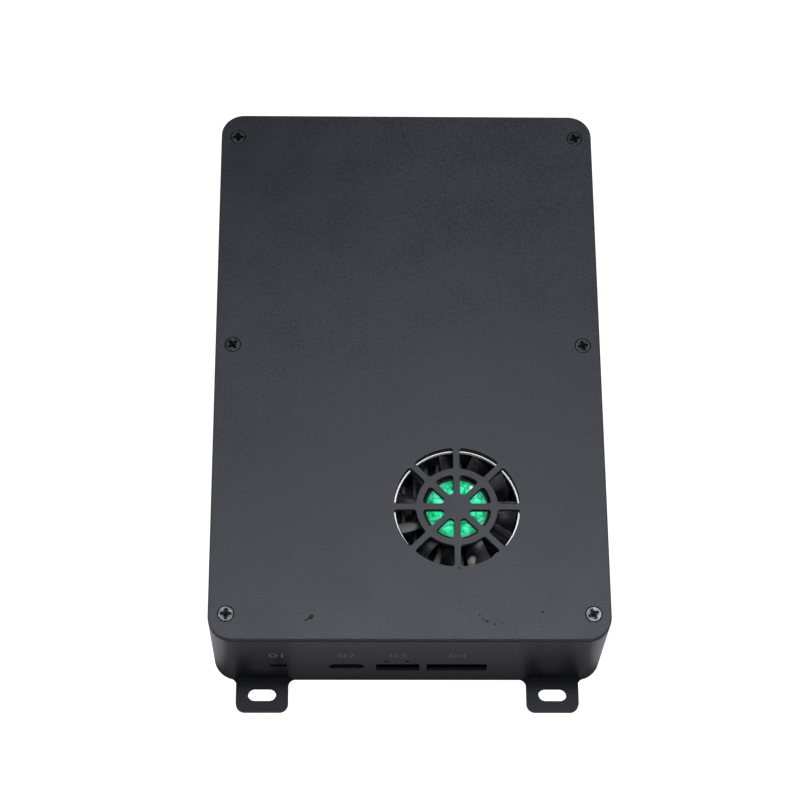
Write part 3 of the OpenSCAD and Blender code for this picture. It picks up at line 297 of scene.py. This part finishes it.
def anodised(name, low, high, rough, specular, dark, painted_light=None):
    """Bead blasted, black anodised metal: fine grain in colour, gloss and height, faint clouds and scuffs.

    dark(shader) gives the share, 0 to 1, by which a place is black and dull: painted shade inside an opening,
    at the ears' roots and on the cover's upright faces, and real wear at the cover's scuffs. The last argument,
    given the shader and a colour, gives that colour with large soft patches of painted light and painted shade."""
    s = Shader(name)
    grain = s.noise(GRAIN_SCALE, 2.0, 0.65)
    clouds = s.noise(CLOUD_SCALE, 3.0, 0.5)
    blend = s.math("ADD", s.math("MULTIPLY", grain, 0.75), s.math("MULTIPLY", clouds, 0.25))
    colour = s.ramp(blend, [(0.38, low), (0.62, high)])
    tint = s.ramp(s.noise(TINT_SCALE, 2.0), [(0.4, (0.96, 0.98, 1.0)), (0.6, (1.0, 0.95, 1.0))])
    colour = s.times(colour, tint)
    speck = s.ramp(s.cells(SPECK_SCALE), [(0.0, 1.0), (0.035, 0.0)])
    rare = s.ramp(s.noise(SPECK_PATCH_SCALE, 1.0), [(0.58, 0.0), (0.64, 1.0)])
    colour = s.mix(s.math("MULTIPLY", speck, rare), colour, SPECK_BLACK)
    if painted_light:
        # Large soft patches of painted light and painted shade
        colour = painted_light(s, colour)
    share = dark(s)
    # Painted shade, and the cover's scuffs, darken the colour here
    s.into(Base_Color=s.mix(share, colour, SHADE_AND_SCUFF_BLACK))
    s.fixed(Metallic=0.0, Specular_IOR_Level=specular)
    gloss = s.spread(s.math("ADD", s.math("MULTIPLY", clouds, 0.4), s.math("MULTIPLY", grain, 0.6)), *rough)
    s.into(Roughness=s.math("MAXIMUM", gloss, share))
    s.bump(s.noise(GRAIN_SCALE * 1.8, 2.0, 0.75), 0.07 * MM, 0.5, edge=0.2 * MM)
    return s.material


def cover_shade_and_scuffs(s):
    """The cover's upright faces, darkened as painted shade, and the few dark scuffs on its top."""
    # Painted shade on all upright faces, the grille's slot walls among them
    share = s.math("MULTIPLY", s.ramp(s.size(s.facing("Z")), [(0.35, 1.0), (0.8, 0.0)]), 0.95)
    rough_edge = s.math("MULTIPLY", s.math("SUBTRACT", s.noise(1500.0, 2.0), 0.5), 1.2 * MM)
    for x, y, size in SCUFFS:
        away = s.math("ADD", s.reach(x * MM, y * MM), rough_edge)
        share = s.math("MAXIMUM", share, s.ramp(s.span(away, 0.0, size * MM, 1.0, 0.0), [(0.0, 0.0), (0.6, 0.9)]))
    return share


def soft_patch(s, x, y, size, most):
    """Share that fades from most, at the place x and y, to none at the distance size."""
    return s.math("MULTIPLY", s.span(s.reach(x, y), 0.0, size, 1.0, 0.0), most)


def cover_painted_light_and_shade(s, colour):
    """Painted light in the middle of the cover and painted shade at its far left corner."""
    # Painted light in the middle
    colour = s.mix(soft_patch(s, *PAINTED_LIGHT_PATCH, 0.26), colour, (0.030, 0.031, 0.040))
    # Painted shade at the far left corner
    return s.mix(soft_patch(s, *PAINTED_SHADE_PATCH, 0.85), colour, (0.0016, 0.0019, 0.0060))


def case_painted_shade(s):
    """Painted shade on the inner faces of the openings in the front wall and at the ears' roots."""
    # Painted shade inside the openings
    deep = s.math("MULTIPLY", s.math("GREATER_THAN", s.axis("Y"), FRONT + OPENING_START),
                  s.math("LESS_THAN", s.axis("Y"), FRONT + OPENING_END))
    deep = s.math("MULTIPLY", deep, s.math("GREATER_THAN", s.facing("Y"), -0.6))
    deep = s.math("MULTIPLY", deep, s.math("LESS_THAN", s.size(s.axis("X")), OPENINGS_OUT))
    deep = s.math("MULTIPLY", deep, 0.55)
    # Painted shade at the ears' roots, where the ears meet the wall
    past = s.math("SUBTRACT", s.size(s.axis("Y")), HALF_LENGTH)
    root = s.ramp(s.span(past, 0.0, EAR_OUT, 0.0, 1.0), [(0.0, 1.0), (0.35, 0.5), (1.0, 0.15)])
    return s.math("MAXIMUM", deep, s.math("MULTIPLY", root, s.math("GREATER_THAN", past, 0.1 * MM)))


def plastic(name, low, high, rough=(0.35, 0.5), grain=1400.0, bump=0.02 * MM, specular=0.5):
    """Moulded plastic: slight mottling and an even fine texture."""
    s = Shader(name)
    s.into(Base_Color=s.patchy(120.0, 3.0, low, high), Roughness=s.spread(s.noise(300.0, 3.0), *rough))
    s.fixed(Specular_IOR_Level=specular)
    s.bump(s.noise(grain, 2.0), bump, 0.4, edge=0.15 * MM)
    return s.material


def metal(name, low, high, rough=(0.22, 0.36), stretch=(900.0, 900.0, 60.0), bump=0.006 * MM):
    """Plated or turned metal with fine drawn lines and faint stains."""
    s = Shader(name)
    lines = s.noise(1.0, 3.0, 0.5, stretch=stretch)
    s.into(Base_Color=s.patchy(160.0, 3.0, low, high), Roughness=s.spread(lines, *rough))
    s.fixed(Metallic=1.0)
    s.bump(lines, bump, 0.4, edge=0.1 * MM)
    return s.material


def dress(node, material):
    """Give a CAD node its material."""
    for place in nodes[node].material_slots:
        place.material = material
    if not nodes[node].material_slots:
        nodes[node].data.materials.append(material)


case_skin = anodised("case_skin", (0.0060, 0.0064, 0.0094), (0.0112, 0.0120, 0.0172), (0.34, 0.44), 0.12,
                     case_painted_shade)
cover_skin = anodised("cover_skin", (0.0047, 0.0053, 0.0099), (0.0154, 0.0165, 0.0223), (0.40, 0.58), 0.51,
                      cover_shade_and_scuffs, cover_painted_light_and_shade)
screw_black = metal("screw_black", (0.10, 0.10, 0.11), (0.2, 0.2, 0.21), (0.24, 0.36))
steel = metal("steel", (0.42, 0.42, 0.43), (0.6, 0.6, 0.61))
gilt = metal("gilt", *GOLD, (0.2, 0.34))
copper = metal("copper", (0.45, 0.2, 0.09), (0.6, 0.3, 0.15), (0.3, 0.4), (90.0, 90.0, 2600.0), 0.04 * MM)
black_plastic = plastic("black_plastic", (0.008, 0.008, 0.009), (0.016, 0.016, 0.017))
cream = plastic("cream", (0.6, 0.57, 0.45), (0.7, 0.67, 0.55))
blue = plastic("blue", (0.01, 0.06, 0.3), (0.015, 0.09, 0.4))
grey = plastic("grey", (0.09, 0.09, 0.095), (0.14, 0.14, 0.145))
maroon = plastic("maroon", (0.16, 0.012, 0.03), (0.25, 0.02, 0.045), (0.3, 0.4))
pad_blue = plastic("pad_blue", (0.25, 0.33, 0.45), (0.32, 0.4, 0.52), (0.6, 0.8))
fibre = plastic("fibre", (0.42, 0.34, 0.2), (0.52, 0.43, 0.28), (0.6, 0.75))
clear = plastic("clear", (0.55, 0.58, 0.6), (0.65, 0.68, 0.7), (0.1, 0.2), 300.0, 0.002 * MM)


def screw_steel():
    """Dark nickel screw heads: a painted highlight on the crown ring, strongest at the front, and painted shade
    towards and in the cross recess.
    """
    s = Shader("screw_steel")
    low, high = (COVER_TOP - depth for depth in SCREW_CROWN)
    # Painted shade in the cross recess, below the crown
    crown = s.ramp(s.span(s.axis("Z"), low, high, 0.0, 1.0), [(0.0, 0.0), (0.9, 1.0)])
    across = s.math("SUBTRACT", s.size(s.axis("X")), SCREW_X)
    ends = s.math("SUBTRACT", s.size(s.axis("Y")), SCREW_Y)
    middle = s.math("SUBTRACT", s.axis("Y"), SCREW_MID_Y)
    reach = s.length(across, s.math("MINIMUM", s.size(ends), s.size(middle)))
    # Painted highlight on the crown ring, with painted shade inside it
    ring = s.ramp(s.span(reach, 0.0, SCREW_HEAD_R, 0.0, 1.0), [(0.40, 0.0), (0.66, 1.0), (0.88, 1.0), (1.0, 0.35)])
    tone_and_painted_light = s.ramp(s.noise(700.0, 2.0), [(0.38, (0.09, 0.09, 0.095)), (0.62, (0.22, 0.22, 0.23))])
    # Painted highlight, full at the front and dimmer towards the back
    front = s.span(s.axis("Y"), SCREW_PAINTED_LIGHT_Y, 0.0, 1.0, 0.3)
    tone_and_painted_light = s.mix(front, PAINTED_SHADE_STEEL, tone_and_painted_light)
    top = s.mix(ring, PAINTED_SHADE_STEEL, tone_and_painted_light)
    s.into(Base_Color=s.mix(crown, (0.010, 0.010, 0.011), top), Roughness=s.spread(s.noise(600.0, 2.0), 0.3, 0.44))
    s.fixed(Metallic=0.9)
    s.bump(s.noise(420.0, 2.0), 0.06 * MM, 0.5, edge=0.1 * MM)
    return s.material


def bezel_steel():
    """Ring round the fan bore: a polished inner lip painted near white as a highlight, and dull steel outside it."""
    s = Shader("bezel_steel")
    low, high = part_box("fan_bezel")
    lip = (high[0] - low[0]) / 2 - BEZEL_LIP_OUT
    reach = s.reach((low[0] + high[0]) / 2, (low[1] + high[1]) / 2 - BEZEL_LIP_OFF)
    # Painted highlight: the lip in near white
    shine = s.math("LESS_THAN", reach, lip)
    painted_lip_highlight = s.patchy(240.0, 2.0, (0.9, 0.9, 0.91), (0.97, 0.97, 0.98))
    s.into(Base_Color=s.mix(shine, (0.012, 0.012, 0.013), painted_lip_highlight), Roughness=s.spread(s.noise(500.0, 2.0), 0.3, 0.4))
    s.fixed(Metallic=0.25)
    return s.material


def board(name, low, high):
    """Circuit board or chip under solder mask or resin: a faint raised net, like tracks under the mask."""
    s = Shader(name)
    tracks = s.ramp(s.cells(700.0, "DISTANCE_TO_EDGE"), [(0.02, 0.0), (0.08, 1.0)])
    s.into(Base_Color=s.mix(tracks, low, high), Roughness=s.spread(s.noise(200.0), 0.3, 0.42))
    s.bump(tracks, 0.03 * MM, 0.3)
    return s.material


board_black = board("board_black", (0.004, 0.010, 0.008), (0.008, 0.018, 0.013))
board_blue = board("board_blue", (0.006, 0.03, 0.05), (0.01, 0.05, 0.08))


def hub_foil():
    """Green foil disc on the fan hub: bright patches, painted shade along creases, one painted glint, and painted
    shade at the rim under the grille.
    """
    s = Shader("hub_foil")
    patches = s.noise(420.0, 2.0, 0.5)
    green = s.ramp(patches, [(0.34, (0.0, 0.15, 0.05)), (0.42, (0.002, 0.62, 0.20)), (0.50, (0.01, 0.98, 0.42)),
                             (0.62, (0.13, 1.0, 0.64))])
    # Painted shade along the creases
    crease_shade = s.ramp(s.cells(330.0, "DISTANCE_TO_EDGE"), [(0.02, 1.0), (0.09, 0.0)])
    # Painted shade at the rim, where the grille shades the disc
    rim = s.ramp(s.span(s.reach(HUB.x, HUB.y), *FOIL_SHADE_RIM, 0.0, 1.0), [(0.2, 0.0), (0.95, 1.0)])
    green = s.mix(s.math("MULTIPLY", rim, 0.75), green, (0.0, 0.24, 0.08))
    green = s.mix(s.math("MULTIPLY", crease_shade, 0.55), green, (0.0, 0.12, 0.05))
    # Painted glint
    glint = s.math("LESS_THAN", s.reach(HUB.x + FOIL_GLINT[0], HUB.y + FOIL_GLINT[1]), FOIL_GLINT_R)
    s.into(Base_Color=s.mix(glint, green, (0.9, 0.95, 0.92)), Roughness=s.spread(patches, 0.3, 0.45))
    s.fixed(Specular_IOR_Level=0.15)
    s.bump(s.noise(420.0, 3.0), 0.1 * MM, 0.6)
    return s.material


def rotor_plastic():
    """Glossy black blades with grey dust patches, which also serve as painted highlights, one painted glint, and a
    dull black rim round the hub disc.
    """
    s = Shader("rotor_plastic")
    # Grey dust patches, which also serve as painted highlights on the blades
    dust_and_painted_highlights = s.ramp(s.noise(140.0, 1.0, 0.4), [(0.44, (0.007, 0.007, 0.009)), (0.58, (0.030, 0.030, 0.034)),
                                             (0.70, (0.15, 0.15, 0.15))])
    rim = s.math("LESS_THAN", s.reach(HUB.x, HUB.y), HUB_RIM_R)
    ragged = s.math("MULTIPLY", s.math("SUBTRACT", s.noise(500.0, 1.0), 0.5), 0.8 * MM)
    # Painted glint on one blade
    spot = s.math("ADD", s.reach(HUB.x + PAINTED_GLINT[0], HUB.y + PAINTED_GLINT[1]), ragged)
    tone_and_painted_light = s.ramp(s.span(spot, 0.0, PAINTED_GLINT_R, 0.0, 1.0), [(0.5, 0.9), (0.9, 0.0)])
    colour = s.mix(tone_and_painted_light, dust_and_painted_highlights, (0.55, 0.54, 0.50))
    s.into(Base_Color=s.mix(rim, colour, (0.001, 0.001, 0.001)))
    s.into(Roughness=s.math("MAXIMUM", rim, s.spread(s.noise(260.0, 2.0), 0.16, 0.3)))
    s.fixed(Specular_IOR_Level=0.8)
    s.bump(s.noise(260.0, 2.0), 0.03 * MM, 0.4)
    return s.material


def aerial_gilt():
    """Gold plated aerial socket: a fine thread round the barrel, white insulator and gold contact at its mouth, with
    painted shade in the contact's hole.
    """
    s = Shader("aerial_gilt")
    across = s.math("SUBTRACT", s.size(s.axis("X")), AERIAL_X)
    reach = s.length(across, s.math("SUBTRACT", s.axis("Z"), AERIAL_Z))
    mouth = s.math("GREATER_THAN", s.facing("Y"), 0.8)
    insulator = s.math("MULTIPLY", mouth, s.math("LESS_THAN", reach, AERIAL_INSULATOR_R))
    insulator = s.math("MULTIPLY", insulator, s.math("GREATER_THAN", reach, AERIAL_CONTACT_WALL_R))
    # Painted shade in the contact's hole
    hole_shade = s.math("MULTIPLY", mouth, s.math("LESS_THAN", reach, AERIAL_CONTACT_R))
    gold = s.patchy(160.0, 3.0, *GOLD)
    s.into(Base_Color=s.mix(hole_shade, s.mix(insulator, gold, (0.75, 0.74, 0.7)), (0.01, 0.01, 0.01)))
    s.into(Metallic=s.math("SUBTRACT", 1.0, insulator))
    s.into(Roughness=s.spread(s.noise(400.0, 2.0), 0.22, 0.34))
    ridge = s.math("SINE", s.math("MULTIPLY", s.axis("Y"), 2 * math.pi / THREAD_PITCH))
    barrel = s.math("GREATER_THAN", reach, AERIAL_BARREL_R)
    s.bump(s.math("MULTIPLY", ridge, barrel), 0.12 * MM)
    return s.material


FINISHES = {
    case_skin: ["case_body"],
    cover_skin: ["top_cover"],
    screw_steel(): ["cover_screws"],
    screw_black: ["fan_screws"],
    steel: ["pcb_screws", "sink_screws", "sink_nuts", "fan_shaft", "usb_c_shell", "card_socket", "sim_socket",
            "power_pin", "video_shell", "usb_a_shell", "net_socket", "aerial_washers", "card_screws", "clock_cell",
            "capacitors"],
    bezel_steel(): ["fan_bezel"],
    gilt: ["card_contacts", "sim_contacts", "net_contacts", "aerial_nuts", "card_posts",
           "pin_header", "fan_bearing"],
    aerial_gilt(): ["aerial_sockets"],
    copper: ["fan_stator"],
    board_black: ["main_pcb", "radio_card", "soc_chip"],
    board_blue: ["modem_card"],
    black_plastic: ["reset_switch", "reset_button", "usb_c_tongue", "power_socket", "video_tongue", "sound_socket",
                    "radio_socket", "modem_socket", "memory_chips", "logic_chips", "cell_holder", "aerial_leads",
                    "heat_sink", "fan_frame"],
    rotor_plastic(): ["fan_rotor"],
    cream: ["fan_plug", "fan_header"],
    blue: ["usb_a_core"],
    grey: ["rotor_magnet", "inductors"],
    maroon: ["fan_cable"],
    pad_blue: ["thermal_pad"],
    fibre: ["sink_washers", "small_parts"],
    clear: ["status_lamps", "light_guide"],
    hub_foil(): ["hub_disc"],
}
for finish, names in FINISHES.items():
    for name in names:
        dress(name, finish)
undressed = sorted(set(nodes) - {name for names in FINISHES.values() for name in names})
assert not undressed, undressed


# ---------------------------------------------------------------- plain numbers over the front openings
def mark(name, digits, x, material):
    """Etched number on the front wall, as thin raised strokes, centred over the opening at x."""
    letters = bpy.data.curves.new(name, "FONT")
    letters.body = digits
    letters.size = MARK_SIZE
    letters.align_x, letters.align_y = "CENTER", "CENTER"
    letters.extrude = MARK_THICK
    letters.offset = MARK_BOLD
    letters.materials.append(material)
    piece = bpy.data.objects.new(name, letters)
    piece.location = (x, FRONT - MARK_OFF, MARK_Z)
    piece.rotation_euler = (math.pi / 2, 0, 0)
    scene.collection.objects.link(piece)
    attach(piece, "case")


etched = plastic("etched", (0.085, 0.085, 0.092), (0.115, 0.115, 0.122), (0.5, 0.6), specular=0.1)
etched_faint = plastic("etched_faint", (0.070, 0.071, 0.077), (0.090, 0.091, 0.097), (0.5, 0.6), specular=0.1)
for digits, node, material in (("01", "reset_button", etched), ("02", "usb_c_shell", etched_faint),
                               ("03", "card_socket", etched_faint), ("04", "sim_socket", etched_faint)):
    low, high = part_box(node)
    mark("mark_" + digits, digits, (low[0] + high[0]) / 2, material)


# ---------------------------------------------------------------- floor, backdrop and light
def paper():
    """White paper that a camera ray sees at full brightness, with a painted shadow near the case in what reflections
    see and in the light it bounces.
    """
    material = bpy.data.materials.new("paper")
    material.use_nodes = True
    tree = material.node_tree
    tree.nodes.clear()

    def node(kind, inputs=(), **settings):
        made = tree.nodes.new(kind)
        for key, value in settings.items():
            setattr(made, key, value)
        for socket, value in inputs:
            if isinstance(value, (int, float)):
                made.inputs[socket].default_value = value
            elif isinstance(value, tuple):
                made.inputs[socket].default_value = (*value, 1.0)
            else:
                tree.links.new(value, made.inputs[socket])
        return made.outputs[0] if made.outputs else None

    place = tree.nodes.new("ShaderNodeSeparateXYZ")
    tree.links.new(tree.nodes.new("ShaderNodeTexCoord").outputs["Object"], place.inputs[0])
    beyond = []
    for axis, half, far in (("X", HALF_WIDTH, SIDE_SHADE), ("Y", HALF_LENGTH, END_SHADE)):
        size = node("ShaderNodeMath", [(0, place.outputs[axis])], operation="ABSOLUTE")
        beyond.append(node("ShaderNodeMapRange", [("Value", size), ("From Min", half), ("From Max", half + far),
                                                  ("To Min", 0.0), ("To Max", 1.0)]))
    # Painted shadow near the case, in the glow that reflections see and in the grey of the paper
    shade = node("ShaderNodeMath", [(0, beyond[0]), (1, beyond[1])], operation="MAXIMUM")
    path = tree.nodes.new("ShaderNodeLightPath")
    camera_ray = path.outputs["Is Camera Ray"]
    seen = node("ShaderNodeMath", [(0, camera_ray), (1, path.outputs["Is Glossy Ray"])], operation="MAXIMUM")
    seen = node("ShaderNodeMath", [(0, seen), (1, path.outputs["Is Transmission Ray"])], operation="MAXIMUM")
    full = node("ShaderNodeMath", [(0, camera_ray), (1, CAMERA_GLOW)], operation="MULTIPLY")
    level = node("ShaderNodeMath", [(0, shade), (1, full)], operation="MAXIMUM")
    glow = node("ShaderNodeEmission", [("Color", (0.98, 0.945, 1.05)), ("Strength", level)])
    dim = node("ShaderNodeBsdfDiffuse", [("Color", (0.2, 0.2, 0.2))])
    shown = node("ShaderNodeAddShader", [(0, dim), (1, glow)])
    grey = node("ShaderNodeMath", [(0, shade), (1, PAPER_GREY)], operation="MULTIPLY")
    lit = node("ShaderNodeBsdfDiffuse", [("Color", grey)])
    both = node("ShaderNodeMixShader", [("Fac", seen), (1, lit), (2, shown)])
    node("ShaderNodeOutputMaterial", [("Surface", both)])
    return material


floor_mesh = bpy.data.meshes.new("floor")
corners = [(-REACH, -REACH, 0), (REACH, -REACH, 0), (REACH, REACH, 0), (-REACH, REACH, 0)]
floor_mesh.from_pydata(corners, [], [(0, 1, 2, 3)])
floor_mesh.materials.append(paper())
floor = bpy.data.objects.new("floor", floor_mesh)
floor.location.z = -FLOOR_GAP
scene.collection.objects.link(floor)
floor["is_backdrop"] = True

# Dim white light from all round, which the camera sees as full white
world = bpy.data.worlds.new("studio")
scene.world = world
world.use_nodes = True
sky = world.node_tree
seen_sky = sky.nodes.new("ShaderNodeBackground")
for background, strength in ((sky.nodes["Background"], 0.16), (seen_sky, 1.0)):
    background.inputs["Color"].default_value = (1.0, 1.0, 1.0, 1.0)
    background.inputs["Strength"].default_value = strength
sky_path = sky.nodes.new("ShaderNodeLightPath")
sky_mix = sky.nodes.new("ShaderNodeMixShader")
sky.links.new(sky_path.outputs["Is Camera Ray"], sky_mix.inputs["Fac"])
sky.links.new(sky.nodes["Background"].outputs[0], sky_mix.inputs[1])
sky.links.new(seen_sky.outputs[0], sky_mix.inputs[2])
sky.links.new(sky_mix.outputs[0], sky.nodes["World Output"].inputs["Surface"])


def soft_light(name, place, aim, size, power, tint=(1.0, 1.0, 1.0)):
    """Area light at a place, aimed at a point."""
    data = bpy.data.lights.new(name, "AREA")
    data.shape = "RECTANGLE"
    data.size, data.size_y = size
    data.energy = power
    data.color = tint
    lamp = bpy.data.objects.new(name, data)
    scene.collection.objects.link(lamp)
    lamp.location = place
    lamp.rotation_mode = "QUATERNION"
    lamp.rotation_quaternion = (Vector(aim) - Vector(place)).to_track_quat("-Z", "Y")


soft_light("key_light", (0.04, -0.09, 1.0), (0.0, -0.02, 0.0), (0.55, 0.36), 9.0, (0.955, 0.965, 1.02))
soft_light("front_light", (0.25, -1.2, 0.7), (0.0, 0.0, 0.0), (0.9, 0.6), 1.7)
soft_light("left_light", (-1.1, -0.3, 0.16), (-0.05, -0.07, 0.015), (0.4, 0.25), 2.0)
soft_light("right_light", (1.1, -0.35, 0.16), (0.05, -0.07, 0.015), (0.4, 0.25), 1.0)

# ---------------------------------------------------------------- sizes and end
low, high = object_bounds()
